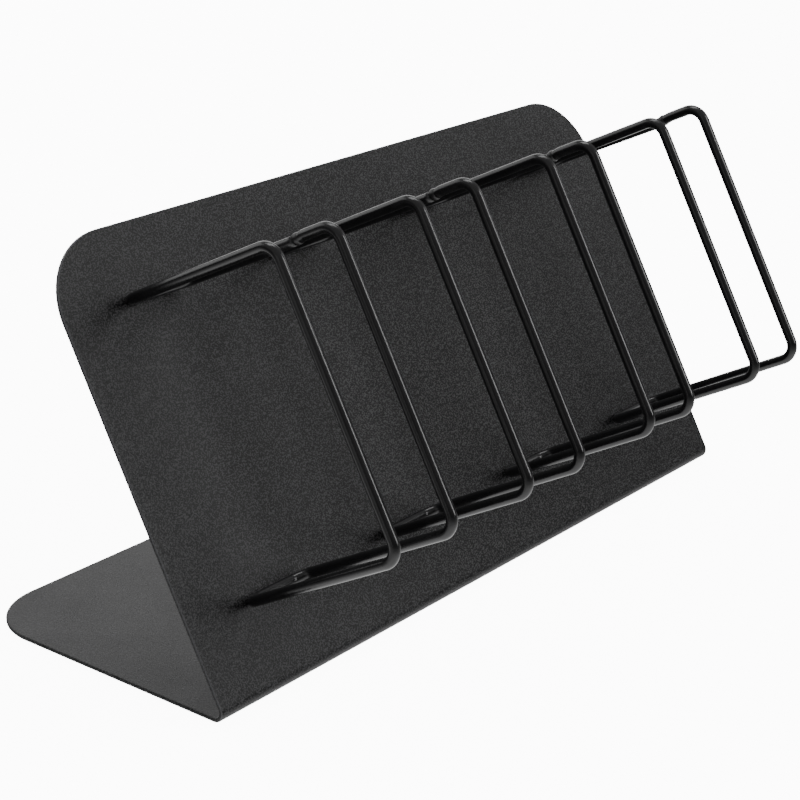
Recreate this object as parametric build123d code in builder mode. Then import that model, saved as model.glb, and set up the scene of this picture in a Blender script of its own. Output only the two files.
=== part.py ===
from build123d import *
from math import cos, radians, sin, tan
import os

# Tabletop brochure rack: one folded steel sheet (a leaning panel over a flat foot) with four wire
# rings welded to the panel. Each ring is a closed wire folded into a U, so it stands out from the
# panel as two parallel divider loops. Millimetres, +Z up, X along the fold, -Y towards the user.
# The origin is at the middle of the rack's bounding box, on the surface that the pads stand on.

# Folded sheet
sheet_width = 305.0  # along the fold
sheet_thickness = 1.5
panel_height = 171.5  # up the leaning panel, from the sharp outer corner of the fold
foot_depth = 128.0  # along the foot, from the same corner
fold_angle = 61.4  # between the foot and the panel
bend_radius = 2.5  # inside the fold
corner_radius = 27.5  # free corners of the panel and of the foot

# Wire rings
wire_diameter = 4.0
wire_bend = 6.5  # centre-line radius of every bend
ring_places = [-112.2, -40.3, 33.4, 109.7]  # along the fold from its middle, as welded by hand
loop_spacings = [29.3, 30.6, 27.1, 29.5]  # between the two loops of each ring, as bent by hand
loop_reach = 78.5  # from the panel's face to the middle of the front bar
arm_low = 34.1  # height up the panel of the lower arms, at the front bar
arm_high = 141.2  # height up the panel of the upper arms, at the front bar
rise_low = 0.6  # degrees that the lower arms rise towards the panel
rise_high = 2.7  # degrees that the upper arms rise towards the panel

# Welds
weld_setback = 18.0  # from the front bar back to the joint that closes a ring
weld_gap = 0.8  # metal between the wire's two ends
weld_step = 0.8  # the rear end sits this much lower than the front end
weld_bulge = 0.75  # upset metal round the joint, beyond the wire
weld_length = 4.4
tack_length = 6.4
tack_radius = 1.6
tack_rounding = 1.1  # rounds off both ends of a tack
tack_inset = 1.6  # from the end of a bend to the middle of a tack

# Self-adhesive pads under the foot
pad_diameter = 12.0
pad_thickness = 1.5
pad_inset_side = 22.0
pad_inset_front = 16.0
pad_inset_back = 22.0

wire_radius = wire_diameter / 2
bend_outer = bend_radius + sheet_thickness
lean_y = cos(radians(fold_angle))
lean_z = sin(radians(fold_angle))

# The lowest front bend is the foremost point, and the foot's back edge is the rearmost one.
front_reach = (loop_reach - wire_bend) * lean_z - (arm_low + wire_bend) * lean_y + wire_bend + wire_radius
fold_y = (front_reach - foot_depth) / 2
foot_z = pad_thickness

# Local x runs along the fold, local y up the panel and local z straight out of its front face.
panel_face = Plane(origin=(0, fold_y, foot_z), x_dir=(1, 0, 0), z_dir=(0, -lean_z, lean_y))

os.makedirs("parts", exist_ok=True)


def save(piece, node):
    piece.part.label = node
    export_step(piece.part, f"parts/{node}.step")


# Folded sheet: its side profile, drawn clockwise from the foot's back edge, carried along the fold.
inner_corner = sheet_thickness / tan(radians(fold_angle / 2))
foot_back = fold_y + foot_depth
top_y = fold_y + panel_height * lean_y
top_z = foot_z + panel_height * lean_z
profile_points = [
    (foot_back, foot_z),
    (fold_y, foot_z),
    (top_y, top_z),
    (top_y + sheet_thickness * lean_z, top_z - sheet_thickness * lean_y),
    (fold_y + inner_corner, foot_z + sheet_thickness),
    (foot_back, foot_z + sheet_thickness),
]
profile_radii = [0, bend_outer, 0, 0, bend_radius, 0]

with BuildPart() as stand:
    with BuildSketch(Plane.YZ.offset(-sheet_width / 2)):
        with BuildLine():
            FilletPolyline(profile_points, radius=profile_radii, close=True)
        make_face()
    extrude(amount=sheet_width)
    thickness_edges = stand.edges().filter_by(lambda edge: abs(edge.length - sheet_thickness) < 0.001)
    fillet(thickness_edges, radius=corner_radius)
save(stand, "folded_stand")


# Wire rings, from left to right, with the joint that closes each one and the tacks that hold it.
arm_length = loop_reach - wire_radius
root_low = arm_low + arm_length * tan(radians(rise_low))
root_high = arm_high + arm_length * tan(radians(rise_high))
joint_high = arm_high + weld_setback * tan(radians(rise_high))
joint_out = loop_reach - weld_setback

for number, (ring_x, loop_spacing) in enumerate(zip(ring_places, loop_spacings), start=1):
    left_x = ring_x - loop_spacing / 2
    right_x = ring_x + loop_spacing / 2
    ring_points = [
        (right_x, joint_high, joint_out + weld_gap / 2),
        (right_x, arm_high, loop_reach),
        (right_x, arm_low, loop_reach),
        (right_x, root_low, wire_radius),
        (left_x, root_low, wire_radius),
        (left_x, arm_low, loop_reach),
        (left_x, arm_high, loop_reach),
        (left_x, root_high, wire_radius),
        (right_x, root_high, wire_radius),
        (right_x, joint_high - weld_step, joint_out - weld_gap / 2),
    ]

    with BuildPart() as ring:
        with BuildLine(panel_face) as ring_line:
            FilletPolyline(ring_points, radius=wire_bend)
        with BuildSketch(Plane(origin=ring_line.line @ 0, z_dir=ring_line.line % 0)):
            Circle(wire_radius)
        sweep(path=ring_line.line)
    save(ring, f"wire_ring_{number}")

    # The joint is a barrel of upset metal that fills the gap between the wire's two ends.
    joint_centre = panel_face.from_local_coords((right_x, joint_high - weld_step / 2, joint_out))
    with BuildPart() as butt_weld:
        with BuildSketch(Plane(origin=joint_centre, x_dir=panel_face.z_dir, z_dir=(1, 0, 0))):
            Ellipse(weld_length / 2, wire_radius + weld_bulge)
            Rectangle(weld_length, 2 * wire_diameter, align=(Align.CENTER, Align.MAX), mode=Mode.SUBTRACT)
        revolve(axis=Axis(joint_centre, panel_face.z_dir))
        add(ring.part, mode=Mode.SUBTRACT)
    save(butt_weld, f"butt_weld_{number}")

    # A tack fills the groove between wire and panel, inside the loop, next to each bend.
    tack_reach = loop_spacing / 2 - wire_bend - tack_inset
    for row, root, inward in (("top", root_high, -1), ("bottom", root_low, 1)):
        for side, direction in (("left", -1), ("right", 1)):
            tack_x = ring_x + direction * tack_reach
            tack_centre = panel_face.from_local_coords((tack_x, root + inward * wire_radius, wire_radius / 2))
            wire_centre = panel_face.from_local_coords((tack_x, root, wire_radius))
            sheet_front = panel_face.from_local_coords((tack_x, root, 0))
            with BuildPart() as tack:
                with Locations(Plane(origin=tack_centre, x_dir=panel_face.z_dir, z_dir=(1, 0, 0))):
                    Cylinder(tack_radius, tack_length)
                fillet(tack.edges().filter_by(GeomType.CIRCLE), radius=tack_rounding)
                with Locations(Plane(origin=wire_centre, x_dir=panel_face.z_dir, z_dir=(1, 0, 0))):
                    Cylinder(wire_radius, 2 * tack_length, mode=Mode.SUBTRACT)
                with Locations(Plane(origin=sheet_front, x_dir=(1, 0, 0), z_dir=panel_face.z_dir)):
                    sheet_side = (Align.CENTER, Align.CENTER, Align.MAX)
                    Box(2 * tack_length, 4 * wire_diameter, 2 * tack_radius, align=sheet_side, mode=Mode.SUBTRACT)
            save(tack, f"tack_weld_{number}_{row}_{side}")


# Pads at the foot's corners
pad_x = sheet_width / 2 - pad_inset_side
pad_places = {
    "front_left": (-pad_x, fold_y + pad_inset_front),
    "front_right": (pad_x, fold_y + pad_inset_front),
    "back_left": (-pad_x, foot_back - pad_inset_back),
    "back_right": (pad_x, foot_back - pad_inset_back),
}
for corner, place in pad_places.items():
    with BuildPart() as pad:
        with BuildSketch(Plane.XY):
            with Locations(place):
                Circle(pad_diameter / 2)
        extrude(amount=pad_thickness)
        fillet(pad.faces().sort_by(Axis.Z)[0].edges(), radius=pad_thickness / 3)
    save(pad, f"foot_pad_{corner}")
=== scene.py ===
import bpy
import math
import numpy as np
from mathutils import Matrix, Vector


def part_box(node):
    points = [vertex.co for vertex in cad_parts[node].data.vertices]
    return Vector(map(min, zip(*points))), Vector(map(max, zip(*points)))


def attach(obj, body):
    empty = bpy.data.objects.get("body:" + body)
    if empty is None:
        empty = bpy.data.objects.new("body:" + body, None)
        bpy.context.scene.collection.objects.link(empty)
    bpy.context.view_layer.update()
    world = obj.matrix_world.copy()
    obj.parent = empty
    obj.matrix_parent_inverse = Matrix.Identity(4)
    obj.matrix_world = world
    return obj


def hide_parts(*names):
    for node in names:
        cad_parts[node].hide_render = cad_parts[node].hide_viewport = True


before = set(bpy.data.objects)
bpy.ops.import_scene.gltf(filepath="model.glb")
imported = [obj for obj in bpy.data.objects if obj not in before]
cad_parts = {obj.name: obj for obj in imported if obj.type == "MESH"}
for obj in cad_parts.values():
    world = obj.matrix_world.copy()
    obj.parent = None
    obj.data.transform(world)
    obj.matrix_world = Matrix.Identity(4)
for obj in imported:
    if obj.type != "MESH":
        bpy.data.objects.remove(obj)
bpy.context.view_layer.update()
print("frame loaded:", len(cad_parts), "nodes")


def linearColour(hexColour):
    # sRGB hex to linear: the low end is a straight line, the rest a 2.4 power
    parts = np.array([int(hexColour[place:place + 2], 16) for place in (1, 3, 5)]) / 255
    linear = np.where(parts <= 0.04045, parts / 12.92, ((parts + 0.055) / 1.055) ** 2.4)
    return (*linear.tolist(), 1.0)


def addNode(tree, kind, settings=None, inputs=None, links=None):
    # one node with its properties, its socket values and what feeds its sockets
    node = tree.nodes.new(kind)
    for name, value in (settings or {}).items():
        setattr(node, name, value)
    for name, value in (inputs or {}).items():
        node.inputs[name].default_value = value
    for name, source in (links or {}).items():
        tree.links.new(source, node.inputs[name])
    return node


def newMaterial(name):
    material = bpy.data.materials.new(name)
    material.use_nodes = True
    material.node_tree.nodes.clear()
    return material, material.node_tree


def gridQuads(rowCount, columnCount, closed=False):
    # corner numbers of the quads between a grid's rows; closed also joins the last column to the first
    rows = np.arange(rowCount - 1)[:, None]
    columns = np.arange(columnCount if closed else columnCount - 1)[None, :]
    after = (columns + 1) % columnCount
    here = rows * columnCount
    below = here + columnCount
    return np.stack([here + columns, below + columns, below + after, here + after], axis=-1).reshape(-1, 4)


def closedSkin(skin, firstPole, lastPole):
    # Rings of points joined into a closed surface, with a fan of triangles from a pole at each end.
    # The rings run anticlockwise about the way from the first pole to the last.
    ringCount, sides = skin.shape[:2]
    points = np.concatenate([skin.reshape(-1, 3), [firstPole], [lastPole]])
    here = np.arange(sides)
    after = np.roll(here, -1)
    lastRing = (ringCount - 1) * sides
    firstFan = np.stack([after, here, np.full(sides, len(points) - 2)], axis=1)
    lastFan = np.stack([lastRing + here, lastRing + after, np.full(sides, len(points) - 1)], axis=1)
    quads = gridQuads(ringCount, sides, closed=True)[:, ::-1]
    return points, [*quads.tolist(), *firstFan.tolist(), *lastFan.tolist()]


def addObject(name, points, faces, material):
    mesh = bpy.data.meshes.new(name)
    mesh.from_pydata(points, [], faces)
    mesh.materials.append(material)
    piece = bpy.data.objects.new(name, mesh)
    bpy.context.scene.collection.objects.link(piece)
    return piece


def addPiece(name, points, faces, material, node):
    piece = addObject(name, points.tolist(), faces, material)
    piece.data.polygons.foreach_set("use_smooth", np.ones(len(piece.data.polygons), bool))
    piece.data.update()
    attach(piece, "root")
    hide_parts(node)
    return piece


camera = {
    "aim": Vector((-0.0067, 0.0077, 0.0646)),
    "azimuth": math.radians(-50.79),
    "elevation": math.radians(20.51),
    "distance": 0.8033,
    "lens": 94.22,
    "sensor": 36,
}

back = Vector((
    math.sin(camera["azimuth"]) * math.cos(camera["elevation"]),
    -math.cos(camera["azimuth"]) * math.cos(camera["elevation"]),
    math.sin(camera["elevation"]),
))
cameraData = bpy.data.cameras.new("camera")
cameraData.lens = camera["lens"]
cameraData.sensor_width = camera["sensor"]
cameraData.clip_start = 0.01
cameraObject = bpy.data.objects.new("camera", cameraData)
cameraObject.location = camera["aim"] + back * camera["distance"]
cameraObject.rotation_euler = back.to_track_quat("Z", "Y").to_euler()
bpy.context.scene.collection.objects.link(cameraObject)
bpy.context.scene.camera = cameraObject
print("camera placed")


def finishShader(tree, look, colour, rough, bump):
    shader = addNode(tree, "ShaderNodeBsdfPrincipled", {}, {"IOR": look["ior"]}, {
        "Base Color": colour, "Roughness": rough.outputs["Result"], "Normal": bump.outputs["Normal"]})
    addNode(tree, "ShaderNodeOutputMaterial", {}, {}, {"Surface": shader.outputs["BSDF"]})


# Fine-texture polyester powder coat, sprayed on the sheet and baked. The eye sees a matt black with
# tiny paler grains, which scatter the light into a soft sheen, and a painted highlight: a greyer line
# painted along the front cut edge's rounding, where that edge catches the light.
grainCoat = {
    "colour": "#000000",
    "paleColour": "#3e3e3f",
    "edgeHighlightColour": "#5c5c5e",  # painted highlight: the front edge's rounding is painted greyer where it catches the light
    "roughness": (0.38, 0.54),
    "grain": 0.00054,  # spacing of the grains; a fine texture is nearer 0.3 mm, which is too fine to show
    "pit": 0.000576,  # spacing of the pits between them
    "grainHeight": 0.00006,
    "mottle": 0.030,  # slow change of film thickness
    "ior": 1.35,
}


def texturedCoat(name, look):
    # grains are the peaks of a noise: they are paler, higher and rougher than what lies between
    pitShare = 0.6  # of the pits in the height, against the grains
    grainStart, grainFull = 0.47, 0.62  # noise levels where a grain begins and where it is all there
    mottleShare = 0.4
    evenLow, evenHigh = 0.45, 0.95  # grain noise plus the mottle's share of its own
    material, tree = newMaterial(name)
    place = addNode(tree, "ShaderNodeTexCoord").outputs["Object"]
    grain = addNode(tree, "ShaderNodeTexNoise", {}, {"Scale": 1 / look["grain"], "Detail": 0.0},
                    {"Vector": place}).outputs["Fac"]
    pits = addNode(tree, "ShaderNodeTexVoronoi", {"feature": "SMOOTH_F1"},
                   {"Scale": 1 / look["pit"], "Smoothness": 0.6}, {"Vector": place}).outputs["Distance"]
    mottle = addNode(tree, "ShaderNodeTexNoise", {}, {"Scale": 1 / look["mottle"], "Detail": 2.0},
                     {"Vector": place}).outputs["Fac"]
    height = addNode(tree, "ShaderNodeMath", {"operation": "MULTIPLY_ADD"}, {1: pitShare}, {0: pits, 2: grain})
    bump = addNode(tree, "ShaderNodeBump", {}, {"Strength": 1.0, "Distance": look["grainHeight"]},
                   {"Height": height.outputs[0]})
    tone = addNode(tree, "ShaderNodeMapRange", {}, {"From Min": grainStart, "From Max": grainFull},
                   {"Value": grain})
    mix = addNode(tree, "ShaderNodeMix", {"data_type": "RGBA"},
                  {6: linearColour(look["colour"]), 7: linearColour(look["paleColour"])},
                  {"Factor": tone.outputs["Result"]})
    # the edge attribute mixes in a painted highlight along the front edge's rounding
    if "edgeHighlightColour" in look:
        edge = addNode(tree, "ShaderNodeAttribute", {"attribute_name": "edge"})
        mix = addNode(tree, "ShaderNodeMix", {"data_type": "RGBA"}, {7: linearColour(look["edgeHighlightColour"])},
                      {"Factor": edge.outputs["Fac"], 6: mix.outputs[2]})
    uneven = addNode(tree, "ShaderNodeMath", {"operation": "MULTIPLY_ADD"}, {1: mottleShare},
                     {0: mottle, 2: grain})
    rough = addNode(tree, "ShaderNodeMapRange", {},
                    {"From Min": evenLow, "From Max": evenHigh,
                     "To Min": look["roughness"][0], "To Max": look["roughness"][1]},
                    {"Value": uneven.outputs[0]})
    finishShader(tree, look, mix.outputs[2], rough, bump)
    return material


# Satin polyester powder coat, sprayed on the wire and baked. It flows out more than on the sheet, so the
# eye sees a smooth shiny black with a faint orange peel about 2 mm across and the odd dust speck.
satinCoat = {
    "colour": "#141415",
    "paleColour": "#1e1e1f",
    "roughness": (0.17, 0.27),
    "peel": 0.0022,  # width of one bump of the peel
    "peelHeight": 0.00002,
    "speck": 0.0005,
    "speckHeight": 0.00003,
    "mottle": 0.012,
    "ior": 1.5,
}

# the same coat over weld metal, which leaves it duller and with finer waves
weldCoat = dict(satinCoat, roughness=(0.30, 0.40), peel=0.0012, peelHeight=0.00003)


def smoothCoat(name, look):
    # two layers of bump, the peel under the specks; a slow noise changes the colour and the gloss
    mottleLow, mottleHigh = 0.3, 0.7  # the noise seldom leaves this range
    material, tree = newMaterial(name)
    place = addNode(tree, "ShaderNodeTexCoord").outputs["Object"]
    peel = addNode(tree, "ShaderNodeTexNoise", {}, {"Scale": 1 / (2 * look["peel"]), "Detail": 1.0},
                   {"Vector": place}).outputs["Fac"]
    specks = addNode(tree, "ShaderNodeTexNoise", {}, {"Scale": 1 / (2 * look["speck"]), "Detail": 2.0},
                     {"Vector": place}).outputs["Fac"]
    mottle = addNode(tree, "ShaderNodeTexNoise", {}, {"Scale": 1 / look["mottle"], "Detail": 2.0},
                     {"Vector": place}).outputs["Fac"]
    waves = addNode(tree, "ShaderNodeBump", {}, {"Strength": 1.0, "Distance": look["peelHeight"]},
                    {"Height": peel})
    bump = addNode(tree, "ShaderNodeBump", {}, {"Strength": 1.0, "Distance": look["speckHeight"]},
                   {"Height": specks, "Normal": waves.outputs["Normal"]})
    mix = addNode(tree, "ShaderNodeMix", {"data_type": "RGBA"},
                  {6: linearColour(look["colour"]), 7: linearColour(look["paleColour"])}, {"Factor": mottle})
    rough = addNode(tree, "ShaderNodeMapRange", {},
                    {"From Min": mottleLow, "From Max": mottleHigh,
                     "To Min": look["roughness"][0], "To Max": look["roughness"][1]},
                    {"Value": mottle})
    finishShader(tree, look, mix.outputs[2], rough, bump)
    return material


# Moulded nitrile rubber: dead matt and dark grey to the eye, with a fine sandblasted skin and a little dust.
padRubber = {
    "colour": "#1b1b1b",
    "paleColour": "#2c2b2a",
    "roughness": (0.75, 0.9),
    "grain": 0.00045,
    "pit": 0.00048,
    "grainHeight": 0.00002,
    "mottle": 0.006,
    "ior": 1.5,
}

sheetFinish = texturedCoat("fineTexturePowderCoat", grainCoat)
wireFinish = smoothCoat("satinPowderCoat", satinCoat)
weldFinish = smoothCoat("satinPowderCoatOnWeld", weldCoat)
rubberFinish = texturedCoat("mouldedRubber", padRubber)
print("materials made")


sheet = {
    "thickness": 0.0015,
    "panelHeight": 0.1715,  # from the sharp outer corner of the fold
    "footDepth": 0.128,
    "foldAngle": math.radians(61.4),
    "outerBend": 0.004,
    "cornerRadius": 0.0275,
    "edgeRounding": 0.0005,  # cut edge, tumbled and then rounded further by the coat
    "cornerSteps": 16,
    "bendSteps": 18,
    "edgeSteps": 6,
    "panelRows": 24,
    "footRows": 16,
    "columns": 48,
    "lastColumn": 0.996,  # an extra column close to each side, so that the edge shades crisply
}

standLow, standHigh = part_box("folded_stand")
sheetWidth = standHigh.x - standLow.x
foldCorner = np.array([0.0, standHigh.y - sheet["footDepth"], standLow.z])
alongFold = np.array([1.0, 0.0, 0.0])
footBack = np.array([0.0, 1.0, 0.0])
panelUp = np.array([0.0, math.cos(sheet["foldAngle"]), math.sin(sheet["foldAngle"])])
panelOut = np.array([0.0, -panelUp[2], panelUp[1]])

# lengths along the middle of the metal, from the panel's top edge
middleBend = sheet["outerBend"] - sheet["thickness"] / 2
bendTangent = sheet["outerBend"] / math.tan(sheet["foldAngle"] / 2)
bendTurn = math.pi - sheet["foldAngle"]
bendStart = sheet["panelHeight"] - bendTangent
bendEnd = bendStart + middleBend * bendTurn
blankLength = bendEnd + sheet["footDepth"] - bendTangent


def onPanel(across, up, out):
    # a place given along the fold, up the panel and straight out of its front face
    across, up, out = (np.asarray(value, float)[..., None] for value in (across, up, out))
    return foldCorner + across * alongFold + up * panelUp + out * panelOut


def foldBlank(across, along, above):
    # The flat blank wrapped round the fold; above is the height over the middle of the metal, on the outer
    # side. Before the bend a place moves down the panel, in the bend it turns about the bend's centre by
    # length / radius, and after it moves back along the foot.
    centre = foldCorner + panelUp * bendTangent - panelOut * sheet["outerBend"]
    angle = np.clip((along - bendStart) / middleBend, 0, bendTurn)[..., None]
    outward = np.cos(angle) * panelOut - np.sin(angle) * panelUp
    down = np.maximum(bendStart - along, 0)[..., None] * panelUp
    rear = np.maximum(along - bendEnd, 0)[..., None] * footBack
    return centre + across[..., None] * alongFold + (middleBend + above[..., None]) * outward + down + rear


def sheetSurface():
    # Rows follow the blank from one rounded end to the other: a row at angle a of a corner lies r(1 - cos a)
    # from the end and reaches r sin a past the straight part. Both faces share that grid, and a rounded rim
    # of quarter circles joins their outlines.
    rounding = sheet["edgeRounding"]
    radius = sheet["cornerRadius"] - rounding
    halfWidth = sheetWidth / 2 - rounding
    corner = np.linspace(0, math.pi / 2, sheet["cornerSteps"])
    cornerRows = radius * (1 - np.cos(corner))
    straight = np.concatenate([
        np.linspace(rounding + radius, bendStart, sheet["panelRows"])[1:],
        np.linspace(bendStart, bendEnd, sheet["bendSteps"])[1:],
        np.linspace(bendEnd, blankLength - rounding - radius, sheet["footRows"])[1:-1],
    ])
    along = np.concatenate([rounding + cornerRows, straight, blankLength - rounding - cornerRows[::-1]])
    sideways = np.concatenate([np.sin(corner), np.ones(len(straight)), np.sin(corner[::-1])])
    endways = np.concatenate([-np.cos(corner), np.zeros(len(straight)), np.cos(corner[::-1])])
    reach = halfWidth - radius + radius * sideways
    steps = np.linspace(-1, 1, sheet["columns"])
    steps = np.concatenate([steps[:1], [-sheet["lastColumn"]], steps[1:-1], [sheet["lastColumn"]], steps[-1:]])
    rowCount, columnCount = len(along), len(steps)
    acrossGrid = reach[:, None] * steps[None, :]
    alongGrid = np.repeat(along[:, None], columnCount, axis=1)
    halfThick = np.full(acrossGrid.shape, sheet["thickness"] / 2)
    outer = foldBlank(acrossGrid, alongGrid, halfThick).reshape(-1, 3)
    inner = foldBlank(acrossGrid, alongGrid, -halfThick).reshape(-1, 3)

    # the grid's outline, once round, with the way out of the blank at each of its places
    number = np.arange(rowCount * columnCount).reshape(rowCount, columnCount)
    outline = np.concatenate([number[0, :-1], number[:-1, -1], number[-1, :0:-1], number[:0:-1, 0]])
    outAcross = (np.sign(acrossGrid) * sideways[:, None] * (np.abs(steps) == 1)).reshape(-1)[outline]
    outAlong = np.repeat(endways, columnCount)[outline]

    quarter = np.linspace(0, math.pi / 2, sheet["edgeSteps"])
    push = rounding * np.concatenate([np.sin(quarter)[1:], np.sin(quarter[::-1])[:-1]])[:, None]
    lift = sheet["thickness"] / 2 - rounding * (1 - np.cos(quarter))
    lift = np.concatenate([lift[1:], -lift[::-1][:-1]])
    rimAcross = acrossGrid.reshape(-1)[outline] + push * outAcross
    rimAlong = alongGrid.reshape(-1)[outline] + push * outAlong
    rim = foldBlank(rimAcross, rimAlong, np.repeat(lift[:, None], len(outline), axis=1)).reshape(-1, 3)

    faceQuads = gridQuads(rowCount, columnCount)
    innerStart = rowCount * columnCount
    ringNumbers = np.concatenate([outline, 2 * innerStart + np.arange(len(rim)), innerStart + outline])
    rimQuads = ringNumbers[gridQuads(len(push) + 2, len(outline), closed=True)]
    faces = np.concatenate([faceQuads, faceQuads[:, ::-1] + innerStart, rimQuads[:, ::-1]])

    # the share of painted highlight at each place of the front edge's rounding: the sine of twice its angle
    highlightShare = np.concatenate([np.sin(2 * quarter)[1:], np.zeros(len(push) - len(quarter) + 1)])
    edge = np.concatenate([np.zeros(2 * innerStart), np.repeat(highlightShare, len(outline))])
    return np.concatenate([outer, inner, rim]), faces.tolist(), edge


points, faces, edge = sheetSurface()
foldedStand = addPiece("foldedStand", points, faces, sheetFinish, "folded_stand")
# the edge attribute carries the painted highlight along the front edge's rounding
foldedStand.data.attributes.new("edge", "FLOAT", "POINT").data.foreach_set("value", edge)
print("folded sheet:", len(faces), "faces")


wire = {
    "radius": 0.002,
    "bend": 0.0065,  # centre line
    "ringPlaces": [-0.1122, -0.0403, 0.0334, 0.1097],  # along the fold, as welded by hand
    "loopSpacings": [0.0293, 0.0306, 0.0271, 0.0295],  # between the two loops of each ring
    "reach": 0.0785,  # from the panel's face to the middle of the front bar
    "armLow": 0.0341,
    "armHigh": 0.1412,
    "riseLow": math.radians(0.6),  # of the lower arms towards the panel
    "riseHigh": math.radians(2.7),
    "jointSetback": 0.018,
    "jointGap": 0.0008,
    "jointStep": 0.0008,  # the rear end sits this much lower than the front end
    "easing": 0.0035,  # over which each end leans to meet the other at the joint
    "sides": 32,
    "bendSteps": 14,
    "runSteps": 16,
}
armLength = wire["reach"] - wire["radius"]
rootLow = wire["armLow"] + armLength * math.tan(wire["riseLow"])
rootHigh = wire["armHigh"] + armLength * math.tan(wire["riseHigh"])
jointHigh = wire["armHigh"] + wire["jointSetback"] * math.tan(wire["riseHigh"])
jointOut = wire["reach"] - wire["jointSetback"]


def bentPath(corners):
    # Straight runs joined by arcs. At each corner the arc starts r tan(turn / 2) before it, and a place at
    # angle a of the arc lies r sin a along the run that comes in and r (1 - cos a) towards the one going out.
    runs = np.diff(corners, axis=0)
    ways = runs / np.linalg.norm(runs, axis=1, keepdims=True)
    before, after = ways[:-1], ways[1:]
    cosTurn = np.sum(before * after, axis=1, keepdims=True)
    turn = np.arccos(cosTurn)
    setback = wire["bend"] * np.tan(turn / 2)
    inward = (after - cosTurn * before) / np.sin(turn)
    arcStart = corners[1:-1] - setback * before
    arcEnd = corners[1:-1] + setback * after
    angle = (turn * np.linspace(0, 1, wire["bendSteps"])[:-1])[..., None]
    forward = np.sin(angle) * before[:, None] + (1 - np.cos(angle)) * inward[:, None]
    arcs = arcStart[:, None] + wire["bend"] * forward
    runStart = np.concatenate([corners[:1], arcEnd])
    runEnd = np.concatenate([arcStart, corners[-1:]])
    share = np.linspace(0, 1, wire["runSteps"])[None, :, None]
    straights = runStart[:, None] * (1 - share) + runEnd[:, None] * share
    joined = np.concatenate([straights[:-1, :-1], arcs], axis=1).reshape(-1, 3)
    return np.concatenate([joined, straights[-1]])


def leanEnds(path):
    # Each end leans half a step up or down the panel to meet the other. The shift is a half cosine of the
    # distance from that end, and is gone past the easing length.
    firstHalf = np.arange(len(path))[:, None] < len(path) / 2
    away = np.linalg.norm(path - np.where(firstHalf, path[0], path[-1]), axis=1, keepdims=True)
    ease = 0.5 + 0.5 * np.cos(math.pi * np.minimum(away / wire["easing"], 1))
    return path + np.where(firstHalf, -ease, ease) * wire["jointStep"] / 2 * panelUp


def roundTube(path, middle):
    # A circle carried along the path. Its first axis points away from the middle of the ring, squared to
    # the path, so the tube never twists sharply.
    ways = np.gradient(path, axis=0)
    ways /= np.linalg.norm(ways, axis=1, keepdims=True)
    away = path - middle
    away -= np.sum(away * ways, axis=1, keepdims=True) * ways
    away /= np.linalg.norm(away, axis=1, keepdims=True)
    beside = np.cross(ways, away)
    angle = np.linspace(0, 2 * math.pi, wire["sides"], endpoint=False)[None, :, None]
    skin = path[:, None] + wire["radius"] * (np.cos(angle) * away[:, None] + np.sin(angle) * beside[:, None])
    return closedSkin(skin, path[0], path[-1])


weld = {
    "buttLength": 0.0056,
    "buttBulge": 0.0003,
    "buttFullness": 2.0,  # power of the bead's outline: 2 is an ellipse, more is blunter
    "buttLumps": 0.02,  # unevenness of the bead, as a share of its radius
    "tackLength": 0.0064,
    "tackRadius": 0.0008,
    "tackFullness": 2.8,
    "tackLumps": 0.04,
    "tackBeside": 0.0013,  # from the wire's middle to the tack's, up or down the panel
    "tackOut": 0.0005,  # from the panel's face
    "tackInset": 0.0016,  # from the end of a bend to the middle of a tack
    "rings": 26,
    "sides": 32,
}


def weldBead(centre, axis, halfLength, radius, fullness, lumps, seed):
    # A bead turned about its axis: its radius is (1 - |v|^p)^(1/p) of the full one, v from end to end, and
    # a few slow waves round and along it make it uneven, as metal sets in overlapping drops.
    v = np.sin(np.linspace(-math.pi / 2, math.pi / 2, weld["rings"] + 2)[1:-1])[:, None]
    outline = (1 - np.abs(v) ** fullness) ** (1 / fullness)
    side = np.cross(axis, panelUp)
    side /= np.linalg.norm(side)
    other = np.cross(axis, side)
    angle = np.linspace(0, 2 * math.pi, weld["sides"], endpoint=False)[None, :]
    shift = np.random.default_rng(seed).uniform(0, 2 * math.pi, 4)
    waves = (np.sin(2 * angle + 3 * v + shift[0])
             + 0.7 * np.sin(3 * angle - 4 * v + shift[1])
             + 0.5 * np.sin(11 * v + np.cos(angle + shift[2]) + shift[3]))
    reach = radius * outline * (1 - lumps * (1.1 + waves / 2))
    skin = (centre + (v * halfLength)[..., None] * axis
            + reach[..., None] * (np.cos(angle)[..., None] * side + np.sin(angle)[..., None] * other))
    return closedSkin(skin, centre - halfLength * axis, centre + halfLength * axis)


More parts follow.
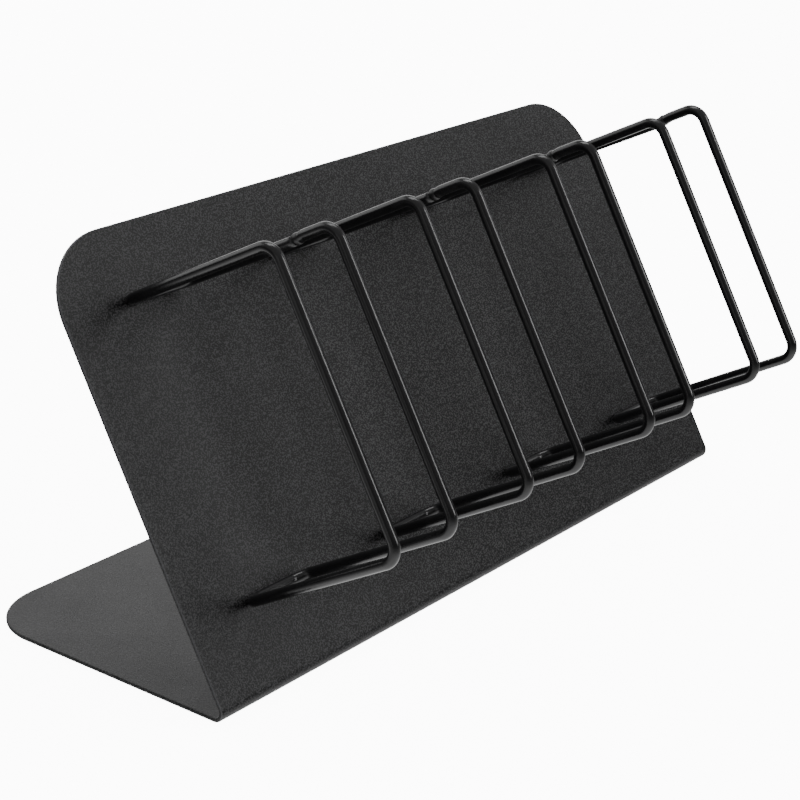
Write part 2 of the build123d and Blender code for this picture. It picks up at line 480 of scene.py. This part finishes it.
for number, (ringX, spacing) in enumerate(zip(wire["ringPlaces"], wire["loopSpacings"]), start=1):
    leftX = ringX - spacing / 2
    rightX = ringX + spacing / 2
    corners = np.array([
        (rightX, jointHigh, jointOut + wire["jointGap"] / 2),
        (rightX, wire["armHigh"], wire["reach"]),
        (rightX, wire["armLow"], wire["reach"]),
        (rightX, rootLow, wire["radius"]),
        (leftX, rootLow, wire["radius"]),
        (leftX, wire["armLow"], wire["reach"]),
        (leftX, wire["armHigh"], wire["reach"]),
        (leftX, rootHigh, wire["radius"]),
        (rightX, rootHigh, wire["radius"]),
        (rightX, jointHigh - wire["jointStep"], jointOut - wire["jointGap"] / 2),
    ])
    path = leanEnds(bentPath(onPanel(*corners.T)))
    middle = onPanel(ringX, (rootLow + rootHigh) / 2, wire["reach"] / 2)
    points, faces = roundTube(path, middle)
    addPiece(f"wireRing{number}", points, faces, wireFinish, f"wire_ring_{number}")

    jointCentre = onPanel(rightX, jointHigh - wire["jointStep"] / 2, jointOut)
    points, faces = weldBead(jointCentre, panelOut, weld["buttLength"] / 2, wire["radius"] + weld["buttBulge"],
                             weld["buttFullness"], weld["buttLumps"], number)
    addPiece(f"buttWeld{number}", points, faces, weldFinish, f"butt_weld_{number}")

    # a tack beside each bend, inside the loop
    tackReach = spacing / 2 - wire["bend"] - weld["tackInset"]
    for row, root, inward in (("top", rootHigh, -1), ("bottom", rootLow, 1)):
        for side, direction in (("left", -1), ("right", 1)):
            centre = onPanel(ringX + direction * tackReach, root + inward * weld["tackBeside"], weld["tackOut"])
            seed = 10 * number + 2 * (row == "top") + (side == "left")
            points, faces = weldBead(centre, alongFold, weld["tackLength"] / 2, weld["tackRadius"],
                                     weld["tackFullness"], weld["tackLumps"], seed)
            addPiece(f"tackWeld{number}{row.title()}{side.title()}", points, faces, sheetFinish,
                     f"tack_weld_{number}_{row}_{side}")
print("wire rings and welds:", len(wire["ringPlaces"]))


pad = {
    "edge": 0.0005,  # rounding of the lower edge
    "topInset": 0.0002,  # small slope round the upper edge
    "dish": 0.00012,  # hollow of the underside
    "topRing": 0.3,  # smallest ring of the top, as a share of the radius
    "underRing": 0.08,  # and of the underside
    "edgeSteps": 7,
    "underSteps": 7,
    "sides": 64,
}


def padSurface(low, high):
    # A profile turned about an upright axis: flat top, upright wall, quarter-circle lower edge, and an
    # underside that rises by the dish, as 1 - (r / R)^2, towards the middle.
    centre = np.array([(low.x + high.x) / 2, (low.y + high.y) / 2, 0.0])
    radius = (high.x - low.x) / 2
    underRadius = radius - pad["edge"]
    quarter = np.linspace(0, math.pi / 2, pad["edgeSteps"])
    under = np.linspace(1, pad["underRing"], pad["underSteps"])[1:] * underRadius
    profileR = np.concatenate([[pad["topRing"] * radius, radius - pad["topInset"], radius],
                               radius - pad["edge"] * (1 - np.cos(quarter)), under])
    profileZ = np.concatenate([[high.z, high.z, high.z - pad["topInset"]],
                               low.z + pad["edge"] * (1 - np.sin(quarter)),
                               low.z + pad["dish"] * (1 - (under / underRadius) ** 2)])
    # the profile runs downwards, so the rings turn the other way
    angle = -np.linspace(0, 2 * math.pi, pad["sides"], endpoint=False)[None, :]
    skin = np.stack([profileR[:, None] * np.cos(angle), profileR[:, None] * np.sin(angle),
                     np.repeat(profileZ[:, None], pad["sides"], axis=1)], axis=-1) + centre
    return closedSkin(skin, centre + (0, 0, high.z), centre + (0, 0, low.z + pad["dish"]))


for corner in ("front_left", "front_right", "back_left", "back_right"):
    points, faces = padSurface(*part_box(f"foot_pad_{corner}"))
    name = "footPad" + corner.title().replace("_", "")
    addPiece(name, points, faces, rubberFinish, f"foot_pad_{corner}")
print("foot pads: 4")


stage = {
    "floorSize": 12.0,
    "wallHeight": 3.0,
    "floorColour": "#f4f4f4",
    "floorGlow": 11.0,
    # brightness of the room by height of the direction looked in, from straight down to straight up
    "roomHeights": [-0.70, -0.30, -0.04, 0.10, 0.30, 0.55],
    "roomLevels": [1.7, 0.45, 0.10, 0.05, 0.17, 0.40],
}

floorMaterial, tree = newMaterial("paleFloor")
floorShader = addNode(tree, "ShaderNodeBsdfPrincipled", {}, {
    "Base Color": linearColour(stage["floorColour"]), "Roughness": 0.9,
    "Emission Color": linearColour("#ffffff"), "Emission Strength": stage["floorGlow"]})
addNode(tree, "ShaderNodeOutputMaterial", {}, {}, {"Surface": floorShader.outputs["BSDF"]})

# A glowing floor, and upright walls round it so that a low view meets no dark horizon. Neither shows in
# the rack's gloss or lights it: the room does that.
half = stage["floorSize"] / 2
rimLow = [(-half, -half, 0), (half, -half, 0), (half, half, 0), (-half, half, 0)]
rimHigh = [(x, y, stage["wallHeight"]) for x, y, _ in rimLow]
floor = addObject("floor", rimLow, [(0, 1, 2, 3)], floorMaterial)
wallFaces = [(0, 4, 5, 1), (1, 5, 6, 2), (2, 6, 7, 3), (3, 7, 4, 0)]
backdrop = addObject("backdrop", rimLow + rimHigh, wallFaces, floorMaterial)
backdrop.visible_shadow = False
for surface in (floor, backdrop):
    surface.visible_glossy = False
    surface.visible_diffuse = False

# the room: a ramp of greys over the height of the direction
world = bpy.data.worlds.new("studio")
bpy.context.scene.world = world
world.use_nodes = True
tree = world.node_tree
tree.nodes.clear()
direction = addNode(tree, "ShaderNodeTexCoord").outputs["Generated"]
upright = addNode(tree, "ShaderNodeSeparateXYZ", {}, {}, {"Vector": direction}).outputs["Z"]
share = addNode(tree, "ShaderNodeMapRange", {}, {"From Min": -1.0, "From Max": 1.0}, {"Value": upright})
ramp = addNode(tree, "ShaderNodeValToRGB", {}, {}, {"Fac": share.outputs["Result"]})
for height in stage["roomHeights"][2:]:
    ramp.color_ramp.elements.new((height + 1) / 2)
for element, height, level in zip(ramp.color_ramp.elements, stage["roomHeights"], stage["roomLevels"]):
    element.position = (height + 1) / 2
    element.color = (level, level, level, 1.0)
background = addNode(tree, "ShaderNodeBackground", {}, {"Strength": 1.0}, {"Color": ramp.outputs["Color"]})
addNode(tree, "ShaderNodeOutputWorld", {}, {}, {"Surface": background.outputs["Background"]})

softboxes = {
    # name: direction from the rack, distance, width, height, power
    "key": ((0.38, -0.83, 0.43), 1.3, 0.34, 0.9, 7.8),
    "top": ((0.1, 0.25, 0.96), 1.2, 1.0, 0.4, 6.0),
    "back": ((0.62, 0.70, 0.33), 1.6, 1.2, 1.1, 6.0),
    "fill": ((-0.97, -0.12, 0.16), 1.4, 0.7, 0.8, 1.0),
    "right": ((0.85, -0.35, 0.45), 1.4, 0.4, 0.5, 1.2),
    "rear": ((-0.25, 0.85, 0.45), 1.5, 1.2, 0.8, 4.0),
}
for name, (way, distance, width, height, power) in softboxes.items():
    light = bpy.data.lights.new(name, "AREA")
    light.shape = "RECTANGLE"
    light.size = width
    light.size_y = height
    light.energy = power
    lamp = bpy.data.objects.new(name, light)
    way = Vector(way).normalized()
    lamp.location = camera["aim"] + way * distance
    lamp.rotation_euler = way.to_track_quat("Z", "Y").to_euler()
    bpy.context.scene.collection.objects.link(lamp)
print("floor and lights placed")
